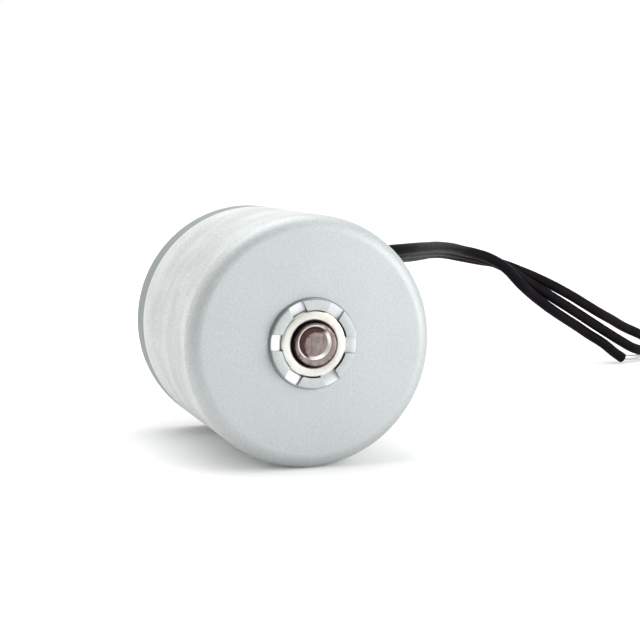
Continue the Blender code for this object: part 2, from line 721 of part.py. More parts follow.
# Spacer between the weight and the rotor
ring("spacer_sleeve", hole_radius, SPACER_RADIUS, spacer_front, spacer_rear, STAINLESS, rotor)

# Rotor core, its magnet segments and the band round them
ring("rotor_core", hole_radius, ROTOR_CORE_RADIUS, core_front, core_rear, LAMINATION, rotor)
magnet_pitch = 360 / MAGNET_COUNT
magnet_half = magnet_pitch / 2 - math.degrees(MAGNET_SPACING / 2 / magnet_inner)
arc_steps = OUTLINE_SIDES // MAGNET_COUNT
for magnet in range(MAGNET_COUNT):
    middle = magnet * magnet_pitch
    outer_edge = arc(magnet_outer, middle - magnet_half, middle + magnet_half, arc_steps)
    inner_edge = arc(magnet_inner, middle + magnet_half, middle - magnet_half, arc_steps)
    extruded(f"magnet_{magnet + 1}", [outer_edge + inner_edge], core_front, core_rear, FERRITE, rotor)
ring("magnet_band", band_inner, rotor_radius, core_front, core_rear, STAINLESS, rotor)

# Free leads from the grommet to the floor, and their bare tinned tips
for number, offset in ((1, -LEAD_PITCH), (2, 0.0), (3, LEAD_PITCH)):
    name = f"lead_{number}"
    start = Vector((
        grommet_spot.x + offset,
        FACE_Y + grommet_rear + SEAT_GAP,
        CAN_RADIUS + grommet_spot.y,
    ))
    route = smooth_route([start] + LEAD_ROUTES[name], LEAD_STEP)
    tube(name, route, LEAD_RADIUS, LEAD_SLEEVE, free_leads)
    heading = (route[-1] - route[-2]).normalized()
    level = Vector((heading.x, heading.y, 0.0)).normalized()
    tip_start = route[-1] + level * SEAT_GAP
    tube(f"{name}_tip", [tip_start, tip_start + level * TIP_LENGTH], TIP_RADIUS, TIN, free_leads)
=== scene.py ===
import math

import bmesh
import bpy
from mathutils import Matrix, Vector


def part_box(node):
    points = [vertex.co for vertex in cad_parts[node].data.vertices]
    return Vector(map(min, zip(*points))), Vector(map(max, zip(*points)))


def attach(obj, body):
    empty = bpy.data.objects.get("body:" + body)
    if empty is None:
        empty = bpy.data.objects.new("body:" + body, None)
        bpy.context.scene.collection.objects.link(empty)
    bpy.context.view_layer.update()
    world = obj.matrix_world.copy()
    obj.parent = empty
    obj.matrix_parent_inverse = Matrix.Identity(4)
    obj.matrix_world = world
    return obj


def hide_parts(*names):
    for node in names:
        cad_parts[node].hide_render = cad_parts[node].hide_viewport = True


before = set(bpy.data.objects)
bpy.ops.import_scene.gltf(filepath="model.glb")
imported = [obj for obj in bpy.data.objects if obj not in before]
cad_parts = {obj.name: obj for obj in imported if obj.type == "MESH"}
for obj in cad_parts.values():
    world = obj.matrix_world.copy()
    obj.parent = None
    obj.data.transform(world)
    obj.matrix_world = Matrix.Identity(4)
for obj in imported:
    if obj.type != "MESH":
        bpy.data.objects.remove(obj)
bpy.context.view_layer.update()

# Can: a deep-drawn steel cup, zinc plated and left matt. Its closed end carries a collar that was drawn with
# the cup and holds the front bush. A punch has struck six flats into the collar, to stake it over the bush.
can_low, can_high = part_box("can")
CAN_FACETS = 144
COLLAR_HEIGHT = 0.0010
COLLAR_RADIUS = 0.0063
COLLAR_SEAT = 0.0048
COLLAR_TUBE_END = 0.0046
COLLAR_EDGE = 0.00022
COLLAR_MOAT = 0.00012
CAN_WALL = 0.0012
CAN_FACE_WALL = 0.0014
CAN_SHOULDER = 0.0022
CAN_RIM_EDGE = 0.00025
SHOULDER_STEPS = 14
STAKE_ANGLE = 34.0
STAKE_WIDTH = 0.00225
STAKE_DEPTH = 0.00042
STAKE_FOLD_RADIUS = 0.00555
STAKE_FOLD_ANGLE = 22.0
STAKE_EDGE = 0.00014
STAKE_PAIRS = 3
SAME_PLACE = 0.000001

can_radius = (can_high.z - can_low.z) / 2
axis_z = can_low.z + can_radius
face_y = can_low.y + COLLAR_HEIGHT
can_length = can_high.y - face_y


def arc_outline(centre_radius, centre_depth, radius, start, end, steps):
    """Points of a turned outline along an arc, from one angle to another in degrees."""
    bends = [math.radians(start + (end - start) * step / steps) for step in range(steps + 1)]
    return [
        (centre_radius + radius * math.cos(bend), centre_depth + radius * math.sin(bend))
        for bend in bends
    ]


def turn(name, outline, facets, closed=True):
    """Draw an outline of radius and depth pairs by extruding a point along it, and spin it round the axis."""
    bpy.ops.object.select_all(action="DESELECT")
    bpy.ops.mesh.primitive_plane_add(size=0.001, location=(0.0, 0.0, 0.0))
    piece = bpy.context.object
    piece.name = name
    piece.data.name = name
    bpy.ops.object.mode_set(mode="EDIT")
    bpy.ops.mesh.select_mode(type="VERT")
    bpy.ops.mesh.merge(type="CENTER")
    places = [Vector((0.0, face_y + depth, axis_z + radius)) for radius, depth in outline]
    bpy.ops.transform.translate(value=places[0])
    if closed:
        places.append(places[0])
    for start, end in zip(places, places[1:]):
        bpy.ops.mesh.extrude_region_move(TRANSFORM_OT_translate={"value": end - start})
    bpy.ops.mesh.select_all(action="SELECT")
    bpy.ops.mesh.remove_doubles(threshold=SAME_PLACE)
    bpy.ops.mesh.spin(steps=facets, angle=math.tau, center=(0.0, 0.0, axis_z), axis=(0.0, 1.0, 0.0))
    bpy.ops.mesh.select_all(action="SELECT")
    bpy.ops.mesh.remove_doubles(threshold=SAME_PLACE)
    bpy.ops.mesh.normals_make_consistent(inside=False)
    bpy.ops.object.mode_set(mode="OBJECT")
    return piece


def cut(piece, cutter, operation="DIFFERENCE"):
    """Cut one piece out of another, or add it, and throw the cutter away."""
    boolean = piece.modifiers.new("Cut", "BOOLEAN")
    boolean.operation = operation
    boolean.solver = "EXACT"
    boolean.object = cutter
    bpy.context.view_layer.objects.active = piece
    bpy.ops.object.modifier_apply(modifier=boolean.name)
    bpy.data.objects.remove(cutter, do_unlink=True)


def round_edges(piece, width, segments=2, angle=40.0):
    """Round the sharp edges of a piece and shade it smooth between the edges that stay sharp."""
    bpy.ops.object.select_all(action="DESELECT")
    piece.select_set(True)
    bpy.context.view_layer.objects.active = piece
    bevel = piece.modifiers.new("Edges", "BEVEL")
    bevel.width = width
    bevel.segments = segments
    bevel.limit_method = "ANGLE"
    bevel.angle_limit = math.radians(angle)
    bpy.ops.object.modifier_apply(modifier=bevel.name)
    bpy.ops.object.shade_smooth_by_angle(angle=math.radians(angle))
    weighted = piece.modifiers.new("Normals", "WEIGHTED_NORMAL")
    weighted.keep_sharp = True
    bpy.ops.object.modifier_apply(modifier=weighted.name)


can = turn("motor_can", [
    (COLLAR_SEAT, -COLLAR_HEIGHT),
    *arc_outline(COLLAR_RADIUS - COLLAR_EDGE, COLLAR_EDGE - COLLAR_HEIGHT, COLLAR_EDGE, -90, 0, 3),
    (COLLAR_RADIUS, COLLAR_MOAT),
    (COLLAR_RADIUS + COLLAR_MOAT, COLLAR_MOAT),
    (COLLAR_RADIUS + 2 * COLLAR_MOAT, 0.0),
    *arc_outline(can_radius - CAN_SHOULDER, CAN_SHOULDER, CAN_SHOULDER, -90, 0, SHOULDER_STEPS),
    (can_radius, can_length - CAN_RIM_EDGE),
    (can_radius - CAN_RIM_EDGE, can_length),
    (can_radius - CAN_WALL, can_length),
    (can_radius - CAN_WALL, CAN_FACE_WALL),
    (COLLAR_RADIUS, CAN_FACE_WALL),
    (COLLAR_RADIUS, COLLAR_TUBE_END),
    (COLLAR_SEAT, COLLAR_TUBE_END),
], CAN_FACETS)


def stake_bar(angle):
    """Bar across the collar that strikes two opposite flats, folded so that their inner halves slope in."""
    centre = Vector((0.0, face_y - COLLAR_HEIGHT, axis_z))
    along = Vector((math.sin(math.radians(angle)), 0.0, math.cos(math.radians(angle))))
    bpy.ops.object.select_all(action="DESELECT")
    bpy.ops.mesh.primitive_cube_add(size=1.0, location=centre, rotation=(0.0, math.radians(angle), 0.0))
    bar = bpy.context.object
    bar.scale = (STAKE_WIDTH, 2 * STAKE_DEPTH, 4 * COLLAR_RADIUS)
    bpy.ops.object.transform_apply(location=True, rotation=True, scale=True)
    bpy.ops.object.mode_set(mode="EDIT")
    for fold in (-STAKE_FOLD_RADIUS, 0.0, STAKE_FOLD_RADIUS):
        bpy.ops.mesh.select_all(action="SELECT")
        bpy.ops.mesh.bisect(plane_co=centre + fold * along, plane_no=along)
    body = bmesh.from_edit_mesh(bar.data)
    for point in body.verts:
        on_axis = abs((point.co - centre).dot(along)) < STAKE_FOLD_RADIUS / 2
        point.select_set(on_axis and point.co.y > centre.y)
    body.select_flush_mode()
    dip = STAKE_FOLD_RADIUS * math.tan(math.radians(STAKE_FOLD_ANGLE))
    bpy.ops.transform.translate(value=(0.0, dip, 0.0))
    bpy.ops.object.mode_set(mode="OBJECT")
    return bar


for pair in range(STAKE_PAIRS):
    cut(can, stake_bar(STAKE_ANGLE + pair * 180 / STAKE_PAIRS))
round_edges(can, STAKE_EDGE)


class Tint:
    """A socket of a material's nodes, so that shader maths reads as plain expressions."""

    def __init__(self, socket):
        self.socket = socket

    def node(self, kind, settings, sockets, output=0):
        """Add a node: its settings first, then the values or links of its sockets."""
        tree = self.socket.id_data
        made = tree.nodes.new(kind)
        for key, value in settings.items():
            setattr(made, key, value)
        for key, value in sockets.items():
            if isinstance(value, Tint):
                tree.links.new(value.socket, made.inputs[key])
            else:
                made.inputs[key].default_value = value
        return Tint(made.outputs[output])

    def maths(self, operation, first, second):
        return self.node("ShaderNodeMath", {"operation": operation}, {0: first, 1: second})

    def __add__(self, other):
        return self.maths("ADD", self, other)

    def __radd__(self, other):
        return self.maths("ADD", other, self)

    def __sub__(self, other):
        return self.maths("SUBTRACT", self, other)

    def __rsub__(self, other):
        return self.maths("SUBTRACT", other, self)

    def __mul__(self, other):
        return self.maths("MULTIPLY", self, other)

    def __rmul__(self, other):
        return self.maths("MULTIPLY", other, self)

    def wave(self):
        """Sine of this value."""
        return self.maths("SINE", self, 0.0)

    def axis(self, name):
        """One of the three parts of a place or direction."""
        return self.node("ShaderNodeSeparateXYZ", {}, {0: self}, output=name)

    def length(self):
        """Distance of a place from the point that it is measured from."""
        return self.node("ShaderNodeVectorMath", {"operation": "LENGTH"}, {0: self}, output="Value")

    def step(self, low, high):
        """Nought below one value, one above another, and smooth between them."""
        return self.node(
            "ShaderNodeMapRange",
            {"interpolation_type": "SMOOTHSTEP"},
            {"Value": self, "From Min": low, "From Max": high},
        )

    def mix(self, first, second):
        """Colour between two colours, with this value as the share of the second."""
        sockets = {0: self, 6: first, 7: second}
        return self.node("ShaderNodeMix", {"data_type": "RGBA"}, sockets, output=2)

    def noise(self, scale, detail=2.0, stretch=(1.0, 1.0, 1.0)):
        """Cloudy pattern at a place on the piece, with so many clouds to a metre."""
        placed = self.node("ShaderNodeMapping", {}, {"Vector": self, "Scale": stretch})
        return self.node("ShaderNodeTexNoise", {}, {"Vector": placed, "Scale": scale, "Detail": detail})

    def to(self, shader, socket):
        """Feed this value to a socket of the material's shader."""
        self.socket.id_data.links.new(self.socket, shader.inputs[socket])


def new_finish(name, colour, roughness, metallic):
    """A material with its plain values, its shader, and the place on the piece that patterns read."""
    finish = bpy.data.materials.new(name)
    finish.use_nodes = True
    shader = finish.node_tree.nodes["Principled BSDF"]
    shader.inputs["Base Color"].default_value = (*colour, 1.0)
    shader.inputs["Roughness"].default_value = roughness
    shader.inputs["Metallic"].default_value = metallic
    place = Tint(finish.node_tree.nodes.new("ShaderNodeTexCoord").outputs["Object"])
    return finish, shader, place


def off_axis(place):
    """Distance of a place on the piece from the motor's axis."""
    across = place.node(
        "ShaderNodeMapping", {}, {"Vector": place, "Location": (0.0, 0.0, -axis_z), "Scale": (1.0, 0.0, 1.0)}
    )
    return across.length()


def bump(shader, height, strength, distance):
    """Raise a surface by a height pattern, over a distance in metres."""
    raised = height.node("ShaderNodeBump", {}, {"Height": height, "Strength": strength, "Distance": distance})
    raised.to(shader, "Normal")


def dress(piece, finish, body, slot, *nodes):
    """Give a piece its finish, the body it moves with and the solids that it stands for."""
    piece.data.materials.clear()
    piece.data.materials.append(finish)
    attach(piece, body)
    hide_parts(*nodes)


REAR_BAND_START = 0.0300
zinc, zinc_shader, zinc_place = new_finish("matt_zinc", (0.66, 0.69, 0.69), 0.5, 1.0)
zinc_reach = off_axis(zinc_place)
zinc_depth = zinc_place.axis("Y") - face_y
zinc_left = (zinc_place.axis("Z") - axis_z) * 0.5 - zinc_place.axis("X")
zinc_facing = Tint(zinc.node_tree.nodes.new("ShaderNodeNewGeometry").outputs["Normal"]).axis("Y")
zinc_bands = zinc_place.noise(1.0, 3.0, (40.0, 260.0, 40.0))
zinc_clouds = zinc_place.noise(150.0, 3.0)
zinc_grain = zinc_place.noise(3600.0, 3.0)
on_side = zinc_depth.step(0.0, 0.003)
zinc_tone = (zinc_bands * 0.25 + zinc_clouds * 0.25) * on_side + 0.25 * (1.0 - on_side) + zinc_grain * 0.5
zinc_colour = zinc_tone.step(0.36, 0.64).mix((0.56, 0.585, 0.585, 1.0), (0.76, 0.78, 0.765, 1.0))
zinc_colour = ((1.0 - on_side) * 0.5).mix(zinc_colour, (0.42, 0.455, 0.46, 1.0))
# A dark band is painted round the rear end of the can, with a pale line just in front of it.
rear_band = zinc_depth.step(REAR_BAND_START, REAR_BAND_START + 0.0003)
zinc_colour = (rear_band * 0.75).mix(zinc_colour, (0.24, 0.26, 0.27, 1.0))
band_line = zinc_depth.step(REAR_BAND_START - 0.0006, REAR_BAND_START - 0.0002) * (1.0 - rear_band)
zinc_colour = (band_line * 0.5).mix(zinc_colour, (0.85, 0.87, 0.86, 1.0))
# Painted highlight: a pale line round the can where the shoulder meets the side.
shoulder_highlight = zinc_depth.step(0.0019, 0.0021) * (1.0 - zinc_depth.step(0.0022, 0.0025))
zinc_colour = (shoulder_highlight * 0.3).mix(zinc_colour, (0.90, 0.92, 0.91, 1.0))
on_collar = 1.0 - zinc_reach.step(0.0062, 0.0063)
struck = zinc_depth.step(-0.00085, -0.00075) * on_collar
zinc_colour = (struck * 0.8).mix(zinc_colour, (0.76, 0.77, 0.79, 1.0))
# Painted shade: the steep walls of the struck flats are painted nearly black.
flat_wall_shade = (1.0 - zinc_facing * zinc_facing).step(0.6, 0.95) * struck
zinc_colour = (flat_wall_shade * 0.85).mix(zinc_colour, (0.10, 0.10, 0.10, 1.0))
# Painted shade: a dark ring round the foot of the collar, faint all round and darkest on the left.
collar_foot_shade = zinc_reach.step(0.00625, 0.0063) * (1.0 - zinc_reach.step(0.00638, 0.0065))
collar_foot_shade = collar_foot_shade * (0.05 + 0.3 * zinc_left.step(0.0, 0.006))
collar_foot_shade.mix(zinc_colour, (0.10, 0.12, 0.11, 1.0)).to(zinc_shader, "Base Color")
(0.54 + zinc_grain * 0.12 + zinc_clouds * 0.08 - struck * 0.16).to(zinc_shader, "Roughness")
bump(zinc_shader, zinc_grain + zinc_clouds * 0.5, 0.35, 0.00004)
dress(can, zinc, "housing", "zinc_can", "can")

# Front bush: a turned bearing with a flange, pressed into the collar from inside until the flange seats.
# Its pale face shows the rings of the turning tool, and the staked collar keeps it from coming out.
bush_low, bush_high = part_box("front_bush")
BUSH_FACETS = 96
BUSH_RADIUS = 0.00475
BUSH_EDGE = 0.0003
BUSH_FLANGE = 0.0010
BORE_RADIUS = 0.0031
BORE_CHAMFER = 0.0004
bush_front = bush_low.y - face_y
bush_rear = bush_high.y - face_y
flange_radius = (bush_high.x - bush_low.x) / 2

bush = turn("front_bearing", [
    (BORE_RADIUS + BORE_CHAMFER, bush_front),
    *arc_outline(BUSH_RADIUS - BUSH_EDGE, bush_front + BUSH_EDGE, BUSH_EDGE, -90, 0, 4),
    (BUSH_RADIUS, bush_rear - BUSH_FLANGE),
    (flange_radius, bush_rear - BUSH_FLANGE),
    (flange_radius, bush_rear),
    (BORE_RADIUS, bush_rear),
    (BORE_RADIUS, bush_front + BORE_CHAMFER),
], BUSH_FACETS)
round_edges(bush, 0.00005)

bronze, bronze_shader, bronze_place = new_finish("turned_bearing", (0.72, 0.69, 0.60), 0.3, 1.0)
bronze_reach = off_axis(bronze_place)
tool_turns = bronze_reach * 62000.0 + bronze_place.noise(260.0, 2.0) * 4.0
tool_rings = tool_turns.wave()
bronze_stain = bronze_place.noise(420.0, 3.0).step(0.45, 0.72)
bronze_colour = bronze_stain.mix((0.74, 0.735, 0.70, 1.0), (0.66, 0.62, 0.51, 1.0))
# Painted shade: the bore's chamfer is painted nearly black, for the dark gap round the shaft.
bore_shade = 1.0 - bronze_reach.step(BORE_RADIUS + 0.6 * BORE_CHAMFER, BORE_RADIUS + BORE_CHAMFER)
bronze_colour = (bore_shade * 0.85).mix(bronze_colour, (0.09, 0.065, 0.058, 1.0))
bronze_colour.to(bronze_shader, "Base Color")
(0.28 + tool_rings * 0.05 + bronze_stain * 0.08).to(bronze_shader, "Roughness")
bump(bronze_shader, tool_rings, 0.18, 0.000012)
dress(bush, bronze, "housing", "sintered_bush", "front_bush")

# Shaft: a ground steel bar that turns in both bushes. Its front end was parted off in the lathe, which left a
# shallow recess inside a raised rim, browned and pitted by handling.
# The shadow in the recess and the highlights on its wall and rim are painted into the steel's colour.
shaft_low, shaft_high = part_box("shaft")
SHAFT_FACETS = 96
SHAFT_EDGE = 0.00022
RECESS_RADIUS = 0.00232
RECESS_TAPER = 0.00035
RECESS_DEPTH = 0.00042
RECESS_X = -0.0002
RECESS_Z = 0.0003
CRESCENT_RADIUS = 0.0016
shaft_radius = (shaft_high.x - shaft_low.x) / 2
shaft_front = shaft_low.y - face_y
shaft_rear = shaft_high.y - face_y

shaft = turn("motor_shaft", [
    (0.0, shaft_front),
    *arc_outline(shaft_radius - SHAFT_EDGE, shaft_front + SHAFT_EDGE, SHAFT_EDGE, -90, 0, 4),
    (shaft_radius, shaft_rear - SHAFT_EDGE),
    (shaft_radius - SHAFT_EDGE, shaft_rear),
    (0.0, shaft_rear),
], SHAFT_FACETS, closed=False)
bpy.ops.object.select_all(action="DESELECT")
bpy.ops.mesh.primitive_cone_add(
    vertices=64,
    radius1=RECESS_RADIUS + RECESS_TAPER,
    radius2=RECESS_RADIUS - RECESS_TAPER,
    depth=2 * RECESS_DEPTH,
    location=(RECESS_X, shaft_low.y, axis_z + RECESS_Z),
    rotation=(math.radians(-90), 0.0, 0.0),
)
bpy.ops.object.transform_apply(location=True, rotation=True, scale=True)
cut(shaft, bpy.context.object)
round_edges(shaft, 0.00005)

steel, steel_shader, steel_place = new_finish("ground_shaft", (0.34, 0.30, 0.29), 0.32, 1.0)
steel_grain = steel_place.noise(2600.0, 3.0)
steel_streaks = steel_place.noise(1.0, 2.0, (2600.0, 300.0, 300.0)).step(0.4, 0.65)
steel_rust = steel_place.noise(700.0, 2.0).step(0.35, 0.7)
steel_pits = steel_place.noise(1500.0, 1.0).step(0.68, 0.74)
steel_colour = steel_rust.mix((0.26, 0.215, 0.20, 1.0), (0.17, 0.125, 0.115, 1.0))
steel_colour = (steel_streaks * 0.3).mix(steel_colour, (0.44, 0.39, 0.37, 1.0))
steel_colour = (steel_pits * 0.8).mix(steel_colour, (0.06, 0.04, 0.035, 1.0))
recess_place = steel_place.node(
    "ShaderNodeMapping",
    {},
    {"Vector": steel_place, "Location": (-RECESS_X, 0.0, -axis_z - RECESS_Z), "Scale": (1.0, 0.0, 1.0)},
)
recess_reach = recess_place.length()
recess_right = recess_place.axis("X") - recess_place.axis("Z") * 0.7
steel_depth = steel_place.axis("Y") - shaft_low.y
on_end = 1.0 - steel_depth.step(0.0006, 0.001)
# Painted highlight: the recess's wall is painted white on its lower right, darker maroon where it turns left.
recess_wall = recess_reach.step(RECESS_RADIUS - 0.0004, RECESS_RADIUS - 0.0003)
recess_wall = recess_wall * (1.0 - recess_reach.step(RECESS_RADIUS, RECESS_RADIUS + 0.0001)) * on_end
wall_highlight_colour = recess_right.step(0.0002, 0.0012).mix((0.16, 0.10, 0.095, 1.0), (0.95, 0.93, 0.90, 1.0))
# Painted shadow: a dark maroon crescent on the recess floor at its upper left, under the wall.
crescent_place = recess_place.node(
    "ShaderNodeVectorMath", {"operation": "SUBTRACT"}, {0: recess_place, 1: (0.00042, 0.0, -0.00042)}
)
recess_shadow = crescent_place.length()
recess_shadow = recess_shadow.step(CRESCENT_RADIUS, CRESCENT_RADIUS + 0.0004)
recess_shadow = recess_shadow * (1.0 - recess_reach.step(RECESS_RADIUS - 0.00015, RECESS_RADIUS))
recess_shadow = recess_shadow * (1.0 - recess_right.step(0.0, 0.0008)) * on_end
steel_colour = (recess_shadow * 0.9).mix(steel_colour, (0.05, 0.016, 0.016, 1.0))
# Painted highlight: a pale ring just outside the recess, on its left and top.
rim_highlight = recess_reach.step(RECESS_RADIUS, RECESS_RADIUS + 0.00006)
rim_highlight = rim_highlight * (1.0 - recess_right.step(-0.0004, 0.0004))
rim_highlight = rim_highlight * (1.0 - recess_reach.step(RECESS_RADIUS + 0.00014, RECESS_RADIUS + 0.0002)) * on_end
steel_colour = (rim_highlight * 0.8).mix(steel_colour, (0.86, 0.82, 0.80, 1.0))
# Only the lower right of the wall gets the painted highlight.
right_wall_highlight = recess_wall * recess_right.step(0.0, 0.0008)
right_wall_highlight.mix(steel_colour, wall_highlight_colour).to(steel_shader, "Base Color")
(0.28 + steel_grain * 0.22).to(steel_shader, "Roughness")
bump(steel_shader, steel_grain, 0.4, 0.00003)
dress(shaft, steel, "rotor", "shaft_steel", "shaft")

# Rear cover: a moulded black cap whose spigot fits the can's open end. It carries the rear bush in a blind
# pocket and the terminal board on three standoffs, and the leads leave it through an oval opening.
cover_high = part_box("rear_cover")[1]
COVER_FACETS = 144
COVER_EDGE = 0.0010
COVER_FLOOR = 0.0015
COVER_HUB_RADIUS = 0.0061
COVER_POCKET = 0.0010
COVER_SPIGOT_WALL = 0.0009
COVER_SPIGOT_LENGTH = 0.0026
COVER_STEP = 0.00075
COVER_SEAT_GAP = 0.0003
cover_radius = can_radius - COVER_STEP
spigot_radius = can_radius - CAN_WALL - COVER_SEAT_GAP
cover_inner = spigot_radius - COVER_SPIGOT_WALL
cover_rear = cover_high.y - face_y
cover_seat = can_length + COVER_SEAT_GAP
rear_bush_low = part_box("rear_bush")[0]
hub_front = rear_bush_low.y - face_y + COVER_SEAT_GAP
spigot_front = cover_seat - COVER_SPIGOT_LENGTH

cover = turn("rear_cap", [
    (0.0, cover_rear - COVER_POCKET),
    (COLLAR_SEAT, cover_rear - COVER_POCKET),
    (COLLAR_SEAT, hub_front),
    (COVER_HUB_RADIUS, hub_front),
    (COVER_HUB_RADIUS, cover_rear - COVER_FLOOR),
    (cover_inner, cover_rear - COVER_FLOOR),
    (cover_inner, spigot_front),
    (spigot_radius, spigot_front),
    (spigot_radius, cover_seat),
    (cover_radius, cover_seat),
    *arc_outline(cover_radius - COVER_EDGE, cover_rear - COVER_EDGE, COVER_EDGE, 0, 90, 6),
    (0.0, cover_rear),
], COVER_FACETS, closed=False)

grommet_low, grommet_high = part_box("lead_grommet")
LEAD_PITCH = 0.0024
LEAD_RADIUS = 0.00105
GROMMET_WALL = 0.0008
GROMMET_FIT = 0.00015
GROMMET_LIP = 0.0008
OPENING_INSIDE = 0.003
OPENING_OUTSIDE = 0.001
grommet_x = (grommet_low.x + grommet_high.x) / 2
grommet_z = (grommet_low.z + grommet_high.z) / 2


def oval(name, radius, front_y, rear_y):
    """Plug with flat flanks and round ends, pulled out of a cylinder to the width of the three leads."""
    bpy.ops.object.select_all(action="DESELECT")
    bpy.ops.mesh.primitive_cylinder_add(
        vertices=64,
        radius=radius,
        depth=rear_y - front_y,
        location=(grommet_x, (front_y + rear_y) / 2, grommet_z),
        rotation=(math.radians(90), 0.0, 0.0),
    )
    plug = bpy.context.object
    plug.name = name
    plug.data.name = name
    bpy.ops.object.transform_apply(location=True, rotation=True, scale=True)
    bpy.ops.object.mode_set(mode="EDIT")
    for side in (-1, 1):
        body = bmesh.from_edit_mesh(plug.data)
        for point in body.verts:
            point.select_set((point.co.x - grommet_x) * side > SAME_PLACE)
        body.select_flush_mode()
        bpy.ops.transform.translate(value=(side * LEAD_PITCH, 0.0, 0.0))
    bpy.ops.object.mode_set(mode="OBJECT")
    return plug


opening_radius = LEAD_RADIUS + GROMMET_WALL + GROMMET_FIT
opening = oval("lead_opening", opening_radius, cover_high.y - OPENING_INSIDE, cover_high.y + OPENING_OUTSIDE)
cut(cover, opening)
STANDOFF_ANGLES = (100.0, 220.0, 340.0)
STANDOFF_RADIUS = 0.0012
STANDOFF_HEIGHT = 0.0007
STANDOFF_INSET = 0.0036
standoff_front = cover_high.y - COVER_FLOOR - STANDOFF_HEIGHT
standoff_rear = cover_high.y - COVER_FLOOR / 2
standoff_y = (standoff_front + standoff_rear) / 2
standoff_reach = cover_inner - STANDOFF_INSET
for angle in STANDOFF_ANGLES:
    turned = math.radians(angle)
    place = (standoff_reach * math.sin(turned), standoff_y, axis_z + standoff_reach * math.cos(turned))
    bpy.ops.object.select_all(action="DESELECT")
    bpy.ops.mesh.primitive_cylinder_add(
        vertices=32,
        radius=STANDOFF_RADIUS,
        depth=standoff_rear - standoff_front,
        location=place,
        rotation=(math.radians(90), 0.0, 0.0),
    )
    bpy.ops.object.transform_apply(location=True, rotation=True, scale=True)
    cut(cover, bpy.context.object, "UNION")
round_edges(cover, 0.00008)

moulded, moulded_shader, moulded_place = new_finish("moulded_black", (0.03, 0.03, 0.032), 0.5, 0.0)
moulded_grain = moulded_place.noise(3000.0, 3.0)
moulded_clouds = moulded_place.noise(160.0, 2.0)
moulded_clouds.mix((0.022, 0.022, 0.024, 1.0), (0.05, 0.05, 0.052, 1.0)).to(moulded_shader, "Base Color")
(0.4 + moulded_grain * 0.2).to(moulded_shader, "Roughness")
bump(moulded_shader, moulded_grain, 0.3, 0.00003)
dress(cover, moulded, "housing", "black_cover", "rear_cover")

# Lead grommet: a soft rubber bush with an oval lip, pushed into the cover's opening from outside.
# The three leads pass side by side through it.
GROMMET_LIP_REACH = 0.0007
grommet = oval("rubber_bush", LEAD_RADIUS + GROMMET_WALL, grommet_low.y, grommet_high.y)
bpy.ops.object.mode_set(mode="EDIT")
bpy.ops.mesh.select_all(action="SELECT")
bpy.ops.mesh.bisect(plane_co=(0.0, grommet_high.y - GROMMET_LIP, 0.0), plane_no=(0.0, 1.0, 0.0))
bpy.ops.mesh.select_mode(type="FACE")
body = bmesh.from_edit_mesh(grommet.data)
for face in body.faces:
    middle = face.calc_center_median()
    face.select_set(middle.y > grommet_high.y - GROMMET_LIP and abs(face.normal.y) < 0.5)
body.select_flush_mode()
bpy.ops.mesh.extrude_region_shrink_fatten(TRANSFORM_OT_shrink_fatten={"value": GROMMET_LIP_REACH})
bpy.ops.object.mode_set(mode="OBJECT")
round_edges(grommet, 0.0002, 3)

rubber, rubber_shader, rubber_place = new_finish("grommet_rubber", (0.02, 0.02, 0.02), 0.7, 0.0)
rubber_grain = rubber_place.noise(2400.0, 3.0)
rubber_grain.mix((0.014, 0.014, 0.014, 1.0), (0.034, 0.034, 0.034, 1.0)).to(rubber_shader, "Base Color")
(0.6 + rubber_grain * 0.25).to(rubber_shader, "Roughness")
bump(rubber_shader, rubber_grain, 0.3, 0.00003)
dress(grommet, rubber, "housing", "grommet_rubber", "lead_grommet")

